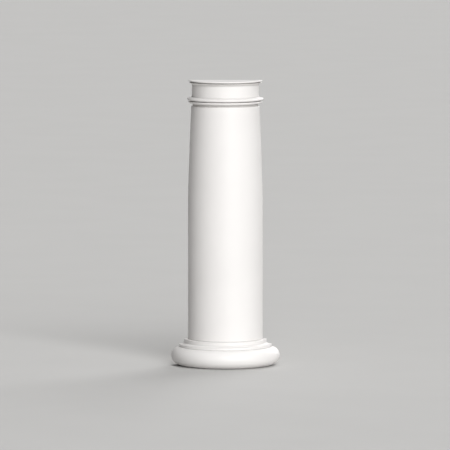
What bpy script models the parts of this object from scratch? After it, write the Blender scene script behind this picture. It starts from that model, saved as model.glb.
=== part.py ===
"""Half column: one casting that stands on its base with its flat back to a wall, turned profile, metres, +Z up."""

import math

import bpy
import numpy as np

# Sizes round the shaft, from the axis that lies in the plane of the back
SHAFT_RADIUS = 0.125  # lower, straight part of the shaft
TAPER_DEPTH = 0.0112  # what the radius loses by the top of the shaft
TORUS_PROJECTION = 0.057  # beyond the shaft, at the torus's widest
LOWER_FILLET_PROJECTION = 0.0297  # beyond the shaft
UPPER_FILLET_PROJECTION = 0.0128  # beyond the shaft
LOWER_BEAD_PROJECTION = 0.0097  # beyond the top of the shaft
GROOVE_PROJECTION = 0.0075  # beyond the top of the shaft, between the beads
UPPER_BEAD_PROJECTION = 0.0138  # beyond the top of the shaft
NECK_INSET = 0.0016  # inside the top of the shaft
COVE_PROJECTION = 0.0090  # beyond the neck, where the neck meets the upper bead
RIM_PROJECTION = 0.0104  # beyond the neck
FOOT_INSET = 0.035  # from the torus's widest in to the edge of the foot

# Heights of the mouldings, one above another from the floor
TORUS_HEIGHT = 0.062
LOWER_FILLET_HEIGHT = 0.0085
CAVETTO_HEIGHT = 0.0065
UPPER_FILLET_HEIGHT = 0.010
STRAIGHT_HEIGHT = 0.4714
TAPER_HEIGHT = 0.3168
LOWER_BEAD_HEIGHT = 0.0110
UPPER_BEAD_HEIGHT = 0.010
COVE_HEIGHT = 0.0045
NECK_HEIGHT = 0.0390
FLARE_HEIGHT = 0.0105
RIM_HEIGHT = 0.0040

TAPER_POWER = 1.2  # how late the shaft starts to draw in
FLARE_POWER = 1.1  # how hollow the flare under the rim is, 1 for a straight one
LOWER_BEAD_CREST = 0.6  # share of the lower bead's height at which it stands out furthest
UPPER_BEAD_CREST = 0.5
TURN_STEPS = 64  # facets round the half turn
TORUS_STEPS = 9  # facets in each quarter of the torus
CURVE_STEPS = 5  # facets in each quarter of a small moulding
TAPER_STEPS = 8


def quarter(start, end, bulge, steps):
    """Points of a quarter of an ellipse from start to end, without its first: t runs from 0 to 90 degrees.

    bulge True starts level and ends upright, r = r0 + dr sin t and z = z0 + dz (1 - cos t);
    bulge False starts upright and ends level, r = r0 + dr (1 - cos t) and z = z0 + dz sin t.
    """
    t = np.linspace(0.0, math.pi / 2, steps + 1)[1:]
    rise, run = (1 - np.cos(t), np.sin(t)) if bulge else (np.sin(t), 1 - np.cos(t))
    radii = start[0] + (end[0] - start[0]) * run
    heights = start[1] + (end[1] - start[1]) * rise
    return list(zip(radii, heights))


def torus(widest, height, seat):
    """A half round from the floor up to where it meets the radius seat, or to its crown if the seat lies further in."""
    tube = height / 2
    foot = (widest - FOOT_INSET, 0.0)
    stop = math.acos(min(max((seat - widest + tube) / tube, 0.0), 1.0))
    lower = quarter(foot, (widest, tube), True, TORUS_STEPS)
    angles = np.linspace(0.0, stop, TORUS_STEPS + 1)[1:]
    upper = zip(widest - tube + tube * np.cos(angles), tube + tube * np.sin(angles))
    return [foot] + lower + list(upper)


def bead(points, crest, top, height, crest_share):
    """Two quarters from the last point: level out to the crest at its share of the height, then level in to the top."""
    base = points[-1][1]
    middle = (crest, base + height * crest_share)
    points += quarter(points[-1], middle, True, CURVE_STEPS)
    points += quarter(middle, (top, base + height), False, CURVE_STEPS)


def profile():
    """The outline as (radius, height) from the foot to the rim."""
    shaft_top = SHAFT_RADIUS - TAPER_DEPTH
    neck = shaft_top - NECK_INSET
    lower_fillet = SHAFT_RADIUS + LOWER_FILLET_PROJECTION
    upper_fillet = SHAFT_RADIUS + UPPER_FILLET_PROJECTION
    points = torus(SHAFT_RADIUS + TORUS_PROJECTION, TORUS_HEIGHT, lower_fillet)
    z = TORUS_HEIGHT
    points.append((lower_fillet, points[-1][1]))
    z += LOWER_FILLET_HEIGHT
    points.append((lower_fillet, z))
    # The cavetto starts level at the fillet's top edge and ends upright, on a curve hollow to the outside.
    points += quarter((lower_fillet, z), (upper_fillet, z + CAVETTO_HEIGHT), True, CURVE_STEPS)
    z += CAVETTO_HEIGHT + UPPER_FILLET_HEIGHT
    points.append((upper_fillet, z))
    points.append((SHAFT_RADIUS, z))
    z += STRAIGHT_HEIGHT
    points.append((SHAFT_RADIUS, z))
    share = np.linspace(0.0, 1.0, TAPER_STEPS + 1)[1:]
    points += list(zip(SHAFT_RADIUS - TAPER_DEPTH * share**TAPER_POWER, z + TAPER_HEIGHT * share))
    groove = shaft_top + GROOVE_PROJECTION
    bead(points, shaft_top + LOWER_BEAD_PROJECTION, groove, LOWER_BEAD_HEIGHT, LOWER_BEAD_CREST)
    bead(points, shaft_top + UPPER_BEAD_PROJECTION, neck + COVE_PROJECTION, UPPER_BEAD_HEIGHT, UPPER_BEAD_CREST)
    z = points[-1][1] + COVE_HEIGHT
    points += quarter(points[-1], (neck, z), True, CURVE_STEPS)
    z += NECK_HEIGHT
    points.append((neck, z))
    # The flare spreads as a power of its own height.
    share = np.linspace(0.0, 1.0, CURVE_STEPS + 1)[1:]
    points += list(zip(neck + RIM_PROJECTION * share**FLARE_POWER, z + FLARE_HEIGHT * share))
    points.append((neck + RIM_PROJECTION, z + FLARE_HEIGHT + RIM_HEIGHT))
    kept = [points[0]]
    for point in points[1:]:
        if math.dist(point, kept[-1]) > 1e-5:
            kept.append(point)
    return np.array(kept)


def half_turned(name, outline):
    """Turns the outline through half a circle about the axis, front to -Y, and closes the foot, the top and the back."""
    angles = np.linspace(-math.pi / 2, math.pi / 2, TURN_STEPS + 1)
    radii = outline[:, :1]
    back = outline[:, 0].max() / 2
    grid = np.empty((len(outline), len(angles), 3))
    grid[..., 0] = radii * np.sin(angles)
    grid[..., 1] = back - radii * np.cos(angles)
    grid[:, [0, -1], 1] = back
    grid[..., 2] = outline[:, 1:]
    rows, columns = grid.shape[:2]
    index = np.arange(rows * columns).reshape(rows, columns)
    quads = np.stack([index[:-1, :-1], index[:-1, 1:], index[1:, 1:], index[1:, :-1]], axis=-1)
    faces = quads.reshape(-1, 4).tolist()
    faces.append(index[0, ::-1].tolist())
    faces.append(index[-1].tolist())
    faces.append(index[:, 0].tolist() + index[::-1, -1].tolist())
    mesh = bpy.data.meshes.new(name)
    mesh.from_pydata(grid.reshape(-1, 3).tolist(), [], faces)
    mesh.validate()
    mesh.shade_smooth()
    mesh.set_sharp_from_angle(angle=math.radians(30))
    return bpy.data.objects.new(name, mesh)


def paint(obj, name, colour, roughness):
    material = bpy.data.materials.new(name)
    material.use_nodes = True
    shader = material.node_tree.nodes["Principled BSDF"]
    shader.inputs["Base Color"].default_value = (*colour, 1.0)
    shader.inputs["Roughness"].default_value = roughness
    obj.data.materials.append(material)


def main():
    for obj in list(bpy.data.objects):
        bpy.data.objects.remove(obj, do_unlink=True)
    column = half_turned("half_column", profile())
    paint(column, "primed_foam", (0.85, 0.83, 0.815), 0.5)
    bpy.context.scene.collection.objects.link(column)


main()
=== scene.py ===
"""Half column in white primed foam over its packed solid, lit in a plain studio. Metres, +Z up."""

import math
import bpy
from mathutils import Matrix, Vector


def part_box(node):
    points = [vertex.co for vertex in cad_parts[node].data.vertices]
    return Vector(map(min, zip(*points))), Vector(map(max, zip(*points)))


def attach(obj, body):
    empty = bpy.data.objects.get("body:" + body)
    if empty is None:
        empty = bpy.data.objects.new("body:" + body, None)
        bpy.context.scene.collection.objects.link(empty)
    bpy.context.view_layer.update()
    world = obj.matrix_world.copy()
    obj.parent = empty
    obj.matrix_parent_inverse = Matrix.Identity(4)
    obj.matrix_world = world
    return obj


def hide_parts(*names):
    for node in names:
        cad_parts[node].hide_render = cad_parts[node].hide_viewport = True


bl_info = {
    "name": "Primed half column",
    "version": (1, 0, 0),
    "blender": (4, 5, 0),
    "location": "View3D > Sidebar > Column",
    "description": "Turns the finished surface of a moulded half column and sets up its studio",
    "category": "Add Mesh",
}

import bpy
import numpy as np
from bpy.props import FloatProperty, FloatVectorProperty, IntProperty, PointerProperty

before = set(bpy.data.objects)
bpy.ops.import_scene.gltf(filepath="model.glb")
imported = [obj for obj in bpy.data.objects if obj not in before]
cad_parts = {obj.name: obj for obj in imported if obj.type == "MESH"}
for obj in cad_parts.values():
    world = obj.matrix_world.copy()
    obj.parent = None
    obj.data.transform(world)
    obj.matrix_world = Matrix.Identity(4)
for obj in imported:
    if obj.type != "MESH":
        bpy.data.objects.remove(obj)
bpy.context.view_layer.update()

SOLID = "half_column"
CASTING = "column_casting"
HALF_WIDTH, BACK, HEIGHT = (float(value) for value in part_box(SOLID)[1])

# The outline as it is drawn and laid off
TEMPLATE_STEP = 0.0002  # from point to point, before the corners are eased
LEVEL_FALL = 0.02  # rise of a level ledge over its run, so that no two rows share a height
CURVE_STEPS = 32  # in each quarter of a moulding and in the flare
TAPER_STEPS = 64
RECESS_REACH = 0.008  # width of the mean that a notch or a crest is measured against

# The section and the faces that close its ends
ARRIS_STEPS = 4
CAP_STEPS = 8  # from the middle of the foot or the top to its edge
CAP_MIDDLE = 0.4  # how far in front of the back that middle lies, as a share of the half width

# Slow waves: how fast their phase goes each way, before each wave's own slant
WAVES = 7
SKIN_WAVES_ROUND = 2.5  # for each radian
SKIN_WAVES_UP = 24.0  # for each metre
SKIN_SEED = 11
BACK_WAVES_ACROSS = 30.0  # for each metre
BACK_WAVES_UP = 18.0  # for each metre
BACK_SEED = 29
BACK_WAVE_MARGIN = 0.02  # the height at the foot and the top over which the back's wave dies out

# Patterns of the finish
CLOUD_SPACING = 0.22
PATCH_SPACING = 0.018
LUMP_SPACING = 0.006
PORE_SPACING = 0.0045
MOTTLE_SPACING = 0.35
NOTCH_SHADE_DEPTHS = (0.0004, 0.0016)  # how deep in a notch the painted shade starts and is full
NOTCH_SHADE_EVEN = 0.55  # share of the painted notch shade that lies evenly, while patches carry the rest
NOTCH_SHADE_COVER = 0.95  # how far full painted shade hides the primer, darkening the notch as its shadow would
RUBBED_CRESTS = (0.0003, 0.0014)  # how far out on a crest the rubbing starts and is full
CLOUD_TONE = 0.94  # brightness of the primer between its clouds
CLOUD_GAIN = 0.10
PORE_EDGE = (0.10, 0.26)  # where a pore's floor ends and the skin is whole again, in pore spacings
OPEN_LUMPS = (0.50, 0.62)  # the share of a lump at which pores start to open and all are open
FOAM_PATCHES = (0.35, 0.65)  # the share of a patch at which the foam starts to darken and is darkest
FLOOR_PATCHES = (0.3, 0.7)
OVERSPRAY_FADE = 0.002  # either side of the overspray's edge
OVERSPRAY_WANDER = 0.010  # how far that edge strays, from its least to its most
PEEL_DEPTH = 0.00003
PORE_DEPTH = 0.0006
FOAM_SHADE = 0.93  # the darker patches of the foam against the lighter ones
FLOOR_SHADE = 0.985
PRIMER_ROUGHNESS = 0.44
PATCH_ROUGHNESS = 0.10
RUBBED_SHINE = 0.08
# extra roughness where the notches carry painted shade
NOTCH_SHADE_ROUGHNESS = 0.22
FOAM_ROUGHNESS = 0.80
FLOOR_ROUGHNESS = 0.85

# The studio
FLOOR_SIDES = 96
FLOOR_RINGS = 24
SENSOR_WIDTH = 36.0  # millimetres


class OutlineSizes(bpy.types.PropertyGroup):
    """Sizes of the turned outline, from the foot up."""

    torus_height: FloatProperty(
        name="Torus height", description="Height of the half round at the foot", default=0.062, unit="LENGTH"
    )
    foot_radius: FloatProperty(
        name="Foot radius", description="Edge of the flat foot under the torus", default=0.147, unit="LENGTH"
    )
    lower_fillet_radius: FloatProperty(
        name="Lower fillet radius", description="Fillet that sits on the torus", default=0.1547, unit="LENGTH"
    )
    lower_fillet_height: FloatProperty(
        name="Lower fillet height", description="Face of the lower fillet", default=0.0085, unit="LENGTH"
    )
    cavetto_height: FloatProperty(
        name="Cavetto height", description="Hollow between the two fillets", default=0.0065, unit="LENGTH"
    )
    upper_fillet_radius: FloatProperty(
        name="Upper fillet radius",
        description="Fillet that the shaft stands on",
        default=0.1378,
        unit="LENGTH",
    )
    upper_fillet_height: FloatProperty(
        name="Upper fillet height", description="Face of the upper fillet", default=0.010, unit="LENGTH"
    )
    shaft_radius: FloatProperty(
        name="Shaft radius", description="Lower, straight part of the shaft", default=0.125, unit="LENGTH"
    )
    shaft_top_radius: FloatProperty(
        name="Shaft top radius",
        description="Where the shaft meets the beads",
        default=0.1138,
        unit="LENGTH",
    )
    taper_height: FloatProperty(
        name="Taper height",
        description="Upper part of the shaft, which draws in",
        default=0.3168,
        unit="LENGTH",
    )
    lower_bead_radius: FloatProperty(
        name="Lower bead radius", description="Crest of the lower bead", default=0.1235, unit="LENGTH"
    )
    lower_bead_height: FloatProperty(
        name="Lower bead height", description="From the shaft to the groove", default=0.0110, unit="LENGTH"
    )
    groove_radius: FloatProperty(
        name="Groove radius", description="Groove between the beads", default=0.1213, unit="LENGTH"
    )
    upper_bead_radius: FloatProperty(
        name="Upper bead radius", description="Crest of the upper bead", default=0.1276, unit="LENGTH"
    )
    upper_bead_height: FloatProperty(
        name="Upper bead height", description="From the groove to the cove", default=0.010, unit="LENGTH"
    )
    cove_radius: FloatProperty(
        name="Cove radius", description="Where the cove leaves the upper bead", default=0.1212, unit="LENGTH"
    )
    cove_height: FloatProperty(
        name="Cove height",
        description="Hollow between the upper bead and the neck",
        default=0.0045,
        unit="LENGTH",
    )
    neck_radius: FloatProperty(
        name="Neck radius", description="Plain neck over the beads", default=0.1122, unit="LENGTH"
    )
    neck_height: FloatProperty(
        name="Neck height", description="Upright part of the neck", default=0.0390, unit="LENGTH"
    )
    rim_radius: FloatProperty(
        name="Rim radius", description="Rim that a capital would sit on", default=0.1226, unit="LENGTH"
    )
    rim_height: FloatProperty(
        name="Rim height", description="Upright face of the rim", default=0.0040, unit="LENGTH"
    )
    flare_height: FloatProperty(
        name="Flare height",
        description="Hollow that spreads from the neck to the rim",
        default=0.0105,
        unit="LENGTH",
    )
    flare_power: FloatProperty(
        name="Flare power", description="How hollow the flare is, 1 for a straight one", default=1.1, min=1.0
    )
    lower_bead_crest: FloatProperty(
        name="Lower bead crest",
        description="Share of the bead's height at which it stands out furthest",
        default=0.6,
    )
    taper_power: FloatProperty(
        name="Taper power", description="How late the shaft starts to draw in", default=1.2, min=1.0
    )


class SurfaceSizes(bpy.types.PropertyGroup):
    """Small sizes that a mould leaves on the turned surface."""

    quirk_height: FloatProperty(
        name="Quirk height",
        description="Notch in the shaft under the lower bead",
        default=0.007,
        unit="LENGTH",
    )
    groove_height: FloatProperty(
        name="Groove height", description="Notch between the two beads", default=0.0018, unit="LENGTH"
    )
    rim_quirk: FloatProperty(
        name="Rim quirk", description="Notch under the rim's face", default=0.0034, unit="LENGTH"
    )
    rim_quirk_depth: FloatProperty(
        name="Rim quirk depth", description="How far that notch runs in", default=0.0060, unit="LENGTH"
    )
    quirk_depth: FloatProperty(
        name="Quirk depth",
        description="How far the notches by the beads run in",
        default=0.0045,
        unit="LENGTH",
    )
    ease: FloatProperty(
        name="Eased corners",
        description="Width over which each corner is rounded",
        default=0.0010,
        unit="LENGTH",
    )
    arris: FloatProperty(
        name="Arris",
        description="Radius of the edges round the back, the foot and the top",
        default=0.0010,
        unit="LENGTH",
    )
    wave: FloatProperty(
        name="Skin wave", description="How far the cast skin wanders inward", default=0.00012, unit="LENGTH"
    )
    back_wave: FloatProperty(
        name="Back wave", description="How far the trimmed back wanders inward", default=0.0004, unit="LENGTH"
    )
    turn_facets: IntProperty(
        name="Turn facets", description="Facets round the half turn", default=192, min=32
    )
    back_facets: IntProperty(
        name="Back facets", description="Facets across the flat back", default=20, min=4
    )
    row_angle: FloatProperty(
        name="Row angle",
        description="How far the outline may bend between rows",
        default=math.radians(7.0),
        unit="ROTATION",
    )
    row_reach: FloatProperty(
        name="Row reach",
        description="How far apart rows may be where the outline is straight",
        default=0.020,
        unit="LENGTH",
    )


class FinishLook(bpy.types.PropertyGroup):
    """Colours and grain of the primed skin and of the bare foam behind."""

    primer: FloatVectorProperty(
        name="Primer",
        description="Satin white primer",
        default=(0.85, 0.83, 0.815),
        subtype="COLOR",
        min=0,
        max=1,
    )
    # Painted shade: this dark colour is laid into the notches to stand in for their shadow
    recess: FloatVectorProperty(
        name="Recess",
        description="Thin primer and dust in the notches",
        default=(0.22, 0.205, 0.185),
        subtype="COLOR",
        min=0,
        max=1,
    )
    foam: FloatVectorProperty(
        name="Foam",
        description="Bare foam at the back and under the foot",
        default=(0.77, 0.72, 0.62),
        subtype="COLOR",
        min=0,
        max=1,
    )
    pore: FloatVectorProperty(
        name="Pore",
        description="Open pores in the bare foam",
        default=(0.42, 0.38, 0.30),
        subtype="COLOR",
        min=0,
        max=1,
    )
    stipple: FloatProperty(
        name="Stipple", description="Spacing of the sprayed grain", default=0.0012, unit="LENGTH"
    )
    stipple_depth: FloatProperty(
        name="Stipple depth", description="Height of the sprayed grain", default=0.00002, unit="LENGTH"
    )
    overspray: FloatProperty(
        name="Overspray", description="How far the primer wraps on to the back", default=0.009, unit="LENGTH"
    )


class StudioSizes(bpy.types.PropertyGroup):
    """Floor, lights and camera."""

    floor: FloatVectorProperty(
        name="Floor",
        description="Plain pale floor",
        default=(0.53, 0.524, 0.514),
        subtype="COLOR",
        min=0,
        max=1,
    )
    floor_radius: FloatProperty(
        name="Floor radius", description="Reach of the floor", default=60.0, unit="LENGTH"
    )
    key_turn: FloatProperty(
        name="Key turn",
        description="Key light, round to the right of the camera",
        default=math.radians(18),
        subtype="ANGLE",
    )
    key_rise: FloatProperty(
        name="Key rise",
        description="Key light, above the horizon",
        default=math.radians(26),
        subtype="ANGLE",
    )
    key_strength: FloatProperty(name="Key strength", description="Key light", default=3.08)
    top_turn: FloatProperty(
        name="Top turn",
        description="Top light, round to the right of the camera",
        default=math.radians(175),
        subtype="ANGLE",
    )
    top_rise: FloatProperty(
        name="Top rise",
        description="Top light, above the horizon",
        default=math.radians(80),
        subtype="ANGLE",
    )
    top_strength: FloatProperty(name="Top strength", description="Top light", default=1.25)
    back_turn: FloatProperty(
        name="Back turn",
        description="Back light, round to the right of the camera",
        default=math.radians(150),
        subtype="ANGLE",
    )
    back_rise: FloatProperty(
        name="Back rise",
        description="Back light, above the horizon",
        default=math.radians(25),
        subtype="ANGLE",
    )
    back_strength: FloatProperty(name="Back strength", description="Back light", default=1.3)
    softness: FloatProperty(
        name="Softness",
        description="Width of each light as the column sees it",
        default=math.radians(40),
        subtype="ANGLE",
    )
    ambient: FloatProperty(name="Ambient", description="Even light from all round", default=0.01)
    view_distance: FloatProperty(
        name="View distance",
        description="From the camera to the column's axis",
        default=22.0,
        unit="LENGTH",
    )
    view_rise: FloatProperty(
        name="View rise", description="Camera above the horizon", default=math.radians(5.2), subtype="ANGLE"
    )
    view_width: FloatProperty(
        name="View width",
        description="What the picture spans at the column's axis",
        default=1.504,
        unit="LENGTH",
    )
    aim_side: FloatProperty(
        name="Aim side", description="Middle of the picture, sideways", default=-0.0014, unit="LENGTH"
    )
    aim_height: FloatProperty(
        name="Aim height", description="Middle of the picture, upward", default=0.468, unit="LENGTH"
    )


class Template:
    """An outline drawn from the foot up, by moves in metres: out from the axis and up from the floor."""

    def __init__(self, radius):
        self.strokes = [np.array([[radius, 0.0]])]

    @property
    def last(self):
        return self.strokes[-1][-1]

    def line_to(self, radius, height):
        self.strokes.append(np.array([[radius, height]]))

    def ledge_to(self, radius):
        """A level step in or out, which rises by its fall times its run."""
        run = abs(radius - self.last[0])
        self.line_to(radius, self.last[1] + LEVEL_FALL * run)

    def rise(self, height):
        self.line_to(self.last[0], self.last[1] + height)

    def curve_to(self, radius, rise, level_first):
        """A quarter of an ellipse: with t from 0 to 90 degrees, the level way goes as sin t and the upright
        way as 1 - cos t where it starts level, and the other way round where it starts upright."""
        t = np.linspace(0.0, math.pi / 2, CURVE_STEPS + 1)[1:, None]
        early, late = np.sin(t), 1 - np.cos(t)
        shares = np.hstack([early, late] if level_first else [late, early])
        self.strokes.append(self.last + shares * (radius - self.last[0], rise))

    def points(self):
        return np.concatenate(self.strokes)


def column_outline(sizes, surface):
    """The sharp outline as (radius, height) rows: half round, fillet, hollow, fillet, shaft, two beads,
    hollow, neck, flare and rim. The shaft draws in, and the flare spreads, by its whole way times
    share ** power, where share runs from 0 to 1 up its height."""
    template = Template(sizes.foot_radius)
    tube = sizes.torus_height / 2
    template.curve_to(HALF_WIDTH, tube, True)
    seat = math.acos((sizes.lower_fillet_radius - HALF_WIDTH + tube) / tube)
    turn = np.linspace(0.0, seat, CURVE_STEPS + 1)[1:]
    upper = np.column_stack([HALF_WIDTH - tube + tube * np.cos(turn), tube + tube * np.sin(turn)])
    template.strokes.append(upper)
    template.line_to(sizes.lower_fillet_radius, sizes.torus_height + sizes.lower_fillet_height)
    template.curve_to(sizes.upper_fillet_radius, sizes.cavetto_height, True)
    template.rise(sizes.upper_fillet_height)
    template.ledge_to(sizes.shaft_radius)
    beads = HEIGHT - sum(
        (
            sizes.lower_bead_height,
            sizes.upper_bead_height,
            sizes.cove_height,
            sizes.flare_height,
            sizes.rim_height,
            sizes.neck_height,
        )
    )
    template.line_to(sizes.shaft_radius, beads - sizes.taper_height)
    share = np.linspace(0.0, 1.0 - surface.quirk_height / sizes.taper_height, TAPER_STEPS + 1)[1:]
    drawn = (sizes.shaft_radius - sizes.shaft_top_radius) * share**sizes.taper_power
    heights = template.last[1] + sizes.taper_height * share
    template.strokes.append(np.column_stack([sizes.shaft_radius - drawn, heights]))
    template.ledge_to(sizes.shaft_top_radius - surface.quirk_depth)
    template.line_to(sizes.shaft_top_radius - surface.quirk_depth, beads)
    crest = sizes.lower_bead_height * sizes.lower_bead_crest
    template.curve_to(sizes.lower_bead_radius, crest, True)
    template.curve_to(sizes.groove_radius, sizes.lower_bead_height - crest - surface.groove_height, False)
    template.ledge_to(sizes.groove_radius - surface.quirk_depth)
    template.rise(surface.groove_height)
    template.curve_to(sizes.upper_bead_radius, sizes.upper_bead_height / 2, True)
    template.curve_to(sizes.cove_radius, sizes.upper_bead_height / 2, False)
    template.curve_to(sizes.neck_radius, sizes.cove_height, True)
    template.line_to(sizes.neck_radius, HEIGHT - sizes.rim_height - sizes.flare_height)
    share = np.linspace(0.0, 1.0, CURVE_STEPS + 1)[1:]
    spread = (sizes.rim_radius - sizes.neck_radius) * share**sizes.flare_power
    heights = template.last[1] + (sizes.flare_height - surface.rim_quirk) * share
    template.strokes.append(np.column_stack([sizes.neck_radius + spread, heights]))
    template.ledge_to(sizes.rim_radius - surface.rim_quirk_depth)
    template.rise(surface.rim_quirk)
    template.ledge_to(sizes.rim_radius)
    template.line_to(sizes.rim_radius, HEIGHT - surface.arris)
    template.curve_to(sizes.rim_radius - surface.arris, surface.arris, False)
    return template.points()


def running_mean(values, width):
    """The mean of each value and its neighbours over width, twice, which keeps both ends where they are."""
    count = 2 * max(1, round(width / TEMPLATE_STEP / 2)) + 1
    kernel = np.convolve(np.ones(count), np.ones(count)) / count**2
    padded = np.pad(values, count - 1, mode="reflect", reflect_type="odd")
    return np.convolve(padded, kernel, mode="valid")


def eased_rows(sharp, surface):
    """Rows of (radius, height, recess). The outline is laid off in even steps along its length and each
    corner is eased by a running mean. Rows then fall where the bend and the way since the last row add up to
    one share. recess is how far the outline lies inside its own mean over the recess reach, so it is positive
    in a notch and negative on a crest."""
    way = np.concatenate([[0.0], np.cumsum(np.hypot(*np.diff(sharp, axis=0).T))])
    steps = np.linspace(0.0, way[-1], round(way[-1] / TEMPLATE_STEP) + 1)
    radius = running_mean(np.interp(steps, way, sharp[:, 0]), surface.ease)
    height = np.clip(running_mean(np.interp(steps, way, sharp[:, 1]), surface.ease), 0.0, HEIGHT)
    recess = running_mean(radius, RECESS_REACH) - radius
    turning = np.abs(np.diff(np.unwrap(np.arctan2(np.diff(height), np.diff(radius)))))
    bend = np.concatenate([[0.0, 0.0], turning]) / surface.row_angle
    cost = np.cumsum(bend + np.gradient(steps) / surface.row_reach)
    cost -= cost[0]
    places = np.arange(len(steps))
    rows = np.interp(np.linspace(0.0, cost[-1], math.ceil(cost[-1]) + 1), cost, places)
    return np.column_stack([np.interp(rows, places, line) for line in (radius, height, recess)])


def wander(first, second, seed):
    """A smooth field from 0 to 1: the mean of sine waves that cross first and second at seeded slants and
    phases, halved and raised by a half."""
    draw = np.random.default_rng(seed)
    slants = draw.normal(0.0, 1.0, (2, WAVES))
    phases = draw.uniform(0.0, 2 * math.pi, WAVES)
    field = np.sin(first[..., None] * slants[0] + second[..., None] * slants[1] + phases).mean(axis=-1)
    return 0.5 + 0.5 * field


def section_rows(rows, surface):
    """Points of the casting, one row for each height and one column for each place round the section.

    The section is a half circle about the axis, closed by a straight back: x = r sin a and
    y = back - r cos a for a from -90 to 90 degrees, less what the edges take, then a quarter round of the
    arris radius at each end, and x from r to -r along the back. Near the foot and the top the back line moves
    in by the arris's own circle.
    """
    radius, height = rows[:, :1], rows[:, 1:2]
    to_end = np.minimum(height, HEIGHT - height)
    edge = np.clip(to_end, 0.0, surface.arris)
    inset = surface.arris - np.sqrt(surface.arris**2 - (surface.arris - edge) ** 2)
    turn = np.linspace(-1.0, 1.0, surface.turn_facets + 1)[None, :]
    reach = np.arccos((surface.arris + inset) / radius)
    angle = turn * reach
    skin = surface.wave * wander(SKIN_WAVES_ROUND * angle, height * SKIN_WAVES_UP, SKIN_SEED)
    front_x = (radius - skin) * np.sin(angle)
    front_y = BACK - (radius - skin) * np.cos(angle)
    corner = np.linspace(0.0, math.pi / 2, ARRIS_STEPS + 1)[None, 1:]
    side = front_x[:, -1:] - surface.arris * (1 - np.cos(corner))
    depth = front_y[:, -1:] + (BACK - inset - front_y[:, -1:]) * np.sin(corner)
    across = np.linspace(1.0, -1.0, surface.back_facets + 1)[None, 1:-1]
    back_x = side[:, -1:] * across
    fall_off = (1 - across**2) * np.clip(to_end / BACK_WAVE_MARGIN, 0.0, 1.0)
    back_field = wander(back_x * BACK_WAVES_ACROSS, height * BACK_WAVES_UP, BACK_SEED)
    back_y = BACK - inset - surface.back_wave * fall_off * back_field
    x = np.hstack([front_x, side, back_x, -side[:, ::-1]])
    y = np.hstack([front_y, depth, back_y, depth[:, ::-1]])
    z = np.broadcast_to(height, x.shape)
    return np.stack([x, y, z], axis=-1)


def bare_distance(grid, surface):
    """How far each point of the back lies in from the sides or the top, and 0 all over the front."""
    front = surface.turn_facets + 1
    from_side = np.abs(grid[:, front - 1, 0])[:, None] - np.abs(grid[..., 0])
    distance = np.minimum(from_side, HEIGHT - grid[..., 2])
    distance[:, :front] = 0.0
    return np.maximum(distance, 0.0)


def turned_casting(sizes, surface):
    """Points, faces and point values of the closed casting: the section rows, with rings at even shares of
    the way from a middle point to the edge, which close the foot and the top."""
    rows = eased_rows(column_outline(sizes, surface), surface)
    grid = section_rows(rows, surface)
    recess = np.broadcast_to(rows[:, 2:], grid.shape[:2]).copy()
    recess[:, surface.turn_facets + 1 :] = 0.0
    bare = bare_distance(grid, surface)
    share = np.linspace(0.0, 1.0, CAP_STEPS + 1)[1:-1, None, None]
    foot_middle = np.array([0.0, BACK - CAP_MIDDLE * grid[0, :, 0].max(), grid[0, 0, 2]])
    top_middle = np.array([0.0, BACK - CAP_MIDDLE * grid[-1, :, 0].max(), grid[-1, 0, 2]])
    foot = foot_middle + share * (grid[0] - foot_middle)
    top = top_middle + share[::-1] * (grid[-1] - top_middle)
    foot_bare = bare[0] + (1 - share[..., 0]) * grid[0, :, 0].max()
    flat = np.zeros(share.shape[:1] + grid.shape[1:2])
    stack = np.concatenate([foot, grid, top])
    count, columns = stack.shape[:2]
    points = np.concatenate([stack.reshape(-1, 3), [foot_middle, top_middle]])
    recess = np.concatenate([flat, recess, flat]).ravel()
    bare = np.concatenate([foot_bare, bare, flat]).ravel()
    index = np.arange(count * columns).reshape(count, columns)
    after = np.roll(index, -1, axis=1)
    quads = np.stack([index[:-1], after[:-1], after[1:], index[1:]], axis=-1).reshape(-1, 4)
    foot_fan = np.stack([after[0], index[0], np.full(columns, count * columns)], axis=-1)
    top_fan = np.stack([index[-1], after[-1], np.full(columns, count * columns + 1)], axis=-1)
    fans = np.concatenate([foot_fan, top_fan])
    values = {"recess": np.append(recess, [0.0, 0.0]), "bare": np.append(bare, [HALF_WIDTH, 0.0])}
    return points, quads, fans, values


def add_mesh(name, points, quads, triangles, values=None):
    """A smooth-shaded object at the origin from arrays of points, four-sided and three-sided faces."""
    mesh = bpy.data.meshes.new(name)
    corners = np.concatenate([quads.ravel(), triangles.ravel()])
    sides = np.concatenate([np.full(len(quads), 4), np.full(len(triangles), 3)])
    starts = np.concatenate([[0], np.cumsum(sides)[:-1]])
    mesh.vertices.add(len(points))
    mesh.vertices.foreach_set("co", points.astype(np.float32).ravel())
    mesh.loops.add(len(corners))
    mesh.loops.foreach_set("vertex_index", corners.astype(np.int32))
    mesh.polygons.add(len(sides))
    mesh.polygons.foreach_set("loop_start", starts.astype(np.int32))
    for key, numbers in (values or {}).items():
        attribute = mesh.attributes.new(key, "FLOAT", "POINT")
        attribute.data.foreach_set("value", numbers.astype(np.float32))
    mesh.update(calc_edges=True)
    mesh.validate()
    mesh.shade_smooth()
    made = bpy.data.objects.new(name, mesh)
    bpy.context.scene.collection.objects.link(made)
    return made


class Value:
    """A number on its way through a material. Arithmetic on it adds Math nodes."""

    def __init__(self, tree, socket):
        self.tree = tree
        self.socket = socket

    def math(self, operation, first, second):
        return self.tree.node("ShaderNodeMath", {"operation": operation}, {0: first, 1: second})

    def __add__(self, other):
        return self.math("ADD", self, other)

    def __sub__(self, other):
        return self.math("SUBTRACT", self, other)

    def __rsub__(self, other):
        return self.math("SUBTRACT", other, self)

    def __mul__(self, other):
        return self.math("MULTIPLY", self, other)

    __radd__ = __add__
    __rmul__ = __mul__

    def between(self, low, high):
        """0 below low and 1 above high, with a smooth rise."""
        limits = {"Value": self, "From Min": low, "From Max": high}
        return self.tree.node("ShaderNodeMapRange", {"interpolation_type": "SMOOTHSTEP"}, limits)


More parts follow.
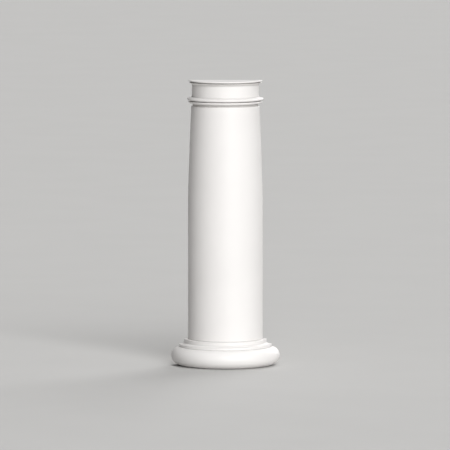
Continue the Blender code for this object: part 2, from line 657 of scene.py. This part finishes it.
class MaterialTree:
    """The nodes of one material."""

    def __init__(self, name):
        self.material = bpy.data.materials.new(name)
        self.material.use_nodes = True
        self.tree = self.material.node_tree
        self.tree.nodes.clear()

    def node(self, kind, settings=None, inputs=None, output=0):
        """Adds a node, sets its settings and then gives each input a value or a link."""
        made = self.tree.nodes.new(kind)
        for key, setting in (settings or {}).items():
            setattr(made, key, setting)
        for key, given in (inputs or {}).items():
            if isinstance(given, Value):
                self.tree.links.new(given.socket, made.inputs[key])
            else:
                made.inputs[key].default_value = given
        return Value(self, made.outputs[output])

    def place(self):
        return self.node("ShaderNodeTexCoord", output="Object")

    def attribute(self, name):
        return self.node("ShaderNodeAttribute", {"attribute_name": name}, output="Fac")

    def noise(self, place, spacing, detail):
        return self.node("ShaderNodeTexNoise", {}, {"Vector": place, "Scale": 1 / spacing, "Detail": detail})

    def mix(self, factor, first, second):
        """first where factor is 0 and second where it is 1, both colours."""
        given = {0: factor}
        for key, colour in ((6, first), (7, second)):
            given[key] = colour if isinstance(colour, Value) else (*colour, 1.0)
        return self.node("ShaderNodeMix", {"data_type": "RGBA"}, given, output=2)

    def bump(self, height, distance, normal=None):
        given = {"Height": height, "Distance": distance, "Strength": 1.0}
        if normal:
            given["Normal"] = normal
        return self.node("ShaderNodeBump", {}, given)

    def finish(self, **inputs):
        given = {key.replace("_", " "): value for key, value in inputs.items()}
        shader = self.node("ShaderNodeBsdfPrincipled", {}, given)
        output = self.tree.nodes.new("ShaderNodeOutputMaterial")
        self.tree.links.new(shader.socket, output.inputs["Surface"])
        return self.material


def primed_foam(look):
    """Satin primer with sprayed grain, with painted shade that darkens it and makes it a little rougher in
    the notches, and rubbed on the crests. It wraps a little way on to the back, where matt foam with open
    pores shows."""
    tree = MaterialTree("satin_primer")
    place = tree.place()
    recess = tree.attribute("recess")
    clouds = tree.noise(place, CLOUD_SPACING, detail=3.0)
    patches = tree.noise(place, PATCH_SPACING, detail=4.0)
    grain = tree.noise(place, look.stipple, detail=2.0)
    lumps = tree.noise(place, LUMP_SPACING, detail=1.0)
    # Painted shade in the notches, fullest in the deepest ones, with a little random unevenness
    painted_notch_shade = recess.between(*NOTCH_SHADE_DEPTHS) * (NOTCH_SHADE_EVEN + (1 - NOTCH_SHADE_EVEN) * patches)
    rubbed = (0.0 - recess).between(*RUBBED_CRESTS)
    inward = tree.attribute("bare") + OVERSPRAY_WANDER * (patches - 0.5)
    bare = inward.between(look.overspray - OVERSPRAY_FADE, look.overspray + OVERSPRAY_FADE)

    cells = {"Vector": place, "Scale": 1 / PORE_SPACING, "Randomness": 1.0}
    pit = tree.node("ShaderNodeTexVoronoi", {}, cells, output="Distance")
    pores = (1.0 - pit.between(*PORE_EDGE)) * lumps.between(*OPEN_LUMPS) * bare

    shade = {0: tuple(look.primer), "Scale": CLOUD_TONE + CLOUD_GAIN * clouds}
    primer = tree.node("ShaderNodeVectorMath", {"operation": "SCALE"}, shade, output="Vector")
    # The primer turns to the dark notch colour by the painted shade mask
    skin = tree.mix(painted_notch_shade * NOTCH_SHADE_COVER, primer, tuple(look.recess))
    darker = tuple(FOAM_SHADE * channel for channel in look.foam)
    foam = tree.mix(patches.between(*FOAM_PATCHES), tuple(look.foam), darker)
    colour = tree.mix(pores, tree.mix(bare, skin, foam), tuple(look.pore))

    sheen = PRIMER_ROUGHNESS + PATCH_ROUGHNESS * patches - RUBBED_SHINE * rubbed + NOTCH_SHADE_ROUGHNESS * painted_notch_shade
    roughness = sheen * (1.0 - bare) + FOAM_ROUGHNESS * bare
    sprayed = tree.bump(grain, look.stipple_depth)
    peel = tree.bump(lumps, PEEL_DEPTH, sprayed)
    pitted = tree.bump(1.0 - pores, PORE_DEPTH, peel)
    return tree.finish(Base_Color=colour, Roughness=roughness, Normal=pitted)


def studio_floor(colour):
    """Matt board with a faint mottle."""
    tree = MaterialTree("studio_floor")
    mottle = tree.noise(tree.place(), MOTTLE_SPACING, detail=3.0)
    darker = tuple(FLOOR_SHADE * channel for channel in colour)
    shade = tree.mix(mottle.between(*FLOOR_PATCHES), tuple(colour), darker)
    return tree.finish(Base_Color=shade, Roughness=FLOOR_ROUGHNESS)


class COLUMN_OT_casting(bpy.types.Operator):
    """Turn the casting's finished surface over its solid"""

    bl_idname = "column.casting"
    bl_label = "Half column casting"

    def execute(self, context):
        scene = context.scene
        points, quads, fans, values = turned_casting(scene.column_outline, scene.column_surface)
        casting = add_mesh(CASTING, points, quads, fans, values)
        casting.data.materials.append(primed_foam(scene.column_finish))
        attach(casting, "root")
        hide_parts(SOLID)
        return {"FINISHED"}


class COLUMN_OT_studio(bpy.types.Operator):
    """Set up the floor, the lights and the camera"""

    bl_idname = "column.studio"
    bl_label = "Studio"

    def execute(self, context):
        studio = context.scene.column_studio
        self.add_floor(studio)
        for name in ("key", "top", "back"):
            aim = [getattr(studio, f"{name}_{part}") for part in ("turn", "rise", "strength")]
            self.add_sun(context, name, *aim, studio.softness)
        self.add_ambient(context, studio)
        self.add_camera(context, studio)
        context.scene.view_settings.view_transform = "Standard"
        return {"FINISHED"}

    def add_floor(self, studio):
        """A flat disc: x = r sin a and y = r cos a, with the square root of r in even steps."""
        angle = np.linspace(0.0, 2 * math.pi, FLOOR_SIDES + 1)[:-1]
        radius = studio.floor_radius * np.linspace(0.0, 1.0, FLOOR_RINGS + 1)[1:, None] ** 2
        rings = np.stack([radius * np.sin(angle), radius * np.cos(angle), 0 * radius * angle], axis=-1)
        count, columns = rings.shape[:2]
        index = np.arange(count * columns).reshape(count, columns)
        after = np.roll(index, -1, axis=1)
        quads = np.stack([index[:-1], index[1:], after[1:], after[:-1]], axis=-1).reshape(-1, 4)
        fan = np.stack([after[0], np.full(columns, count * columns), index[0]], axis=-1)
        points = np.concatenate([rings.reshape(-1, 3), [[0.0, 0.0, 0.0]]])
        floor = add_mesh("floor", points, quads, fan)
        floor.data.materials.append(studio_floor(studio.floor))

    def add_sun(self, context, name, turn, rise, strength, softness):
        sun = bpy.data.lights.new(name, "SUN")
        sun.energy = strength
        sun.angle = softness
        light = bpy.data.objects.new(name, sun)
        light.rotation_euler = (math.pi / 2 - rise, 0.0, turn)
        context.scene.collection.objects.link(light)

    def add_ambient(self, context, studio):
        world = bpy.data.worlds.new("studio")
        world.use_nodes = True
        background = world.node_tree.nodes["Background"]
        background.inputs["Color"].default_value = (1.0, 1.0, 1.0, 1.0)
        background.inputs["Strength"].default_value = studio.ambient
        context.scene.world = world

    def add_camera(self, context, studio):
        lens = bpy.data.cameras.new("camera")
        lens.sensor_width = SENSOR_WIDTH
        lens.lens = SENSOR_WIDTH * studio.view_distance / studio.view_width
        camera = bpy.data.objects.new("camera", lens)
        rise = studio.view_rise
        camera.location = (
            studio.aim_side,
            BACK - studio.view_distance * math.cos(rise),
            studio.aim_height + studio.view_distance * math.sin(rise),
        )
        camera.rotation_euler = (math.pi / 2 - rise, 0.0, 0.0)
        context.scene.collection.objects.link(camera)
        context.scene.camera = camera


class COLUMN_PT_panel(bpy.types.Panel):
    """Lists the pieces and their sizes"""

    bl_idname = "COLUMN_PT_panel"
    bl_label = "Half column"
    bl_space_type = "VIEW_3D"
    bl_region_type = "UI"
    bl_category = "Column"

    def draw(self, context):
        layout = self.layout
        for operator in OPERATORS:
            layout.operator(operator.bl_idname)
        for key, group in GROUPS.items():
            box = layout.box()
            box.label(text=group.__doc__.split(",")[0].rstrip("."))
            for name in group.__annotations__:
                box.prop(getattr(context.scene, key), name)


GROUPS = {
    "column_outline": OutlineSizes,
    "column_surface": SurfaceSizes,
    "column_finish": FinishLook,
    "column_studio": StudioSizes,
}
OPERATORS = (COLUMN_OT_casting, COLUMN_OT_studio)


def register():
    for cls in (*GROUPS.values(), *OPERATORS, COLUMN_PT_panel):
        bpy.utils.register_class(cls)
    for key, group in GROUPS.items():
        setattr(bpy.types.Scene, key, PointerProperty(type=group))


def unregister():
    for key in GROUPS:
        delattr(bpy.types.Scene, key)
    for cls in (COLUMN_PT_panel, *reversed(OPERATORS), *reversed(list(GROUPS.values()))):
        bpy.utils.unregister_class(cls)


def main():
    register()
    bpy.ops.column.casting()
    bpy.ops.column.studio()
    bpy.context.view_layer.update()


if __name__ == "__main__":
    main()
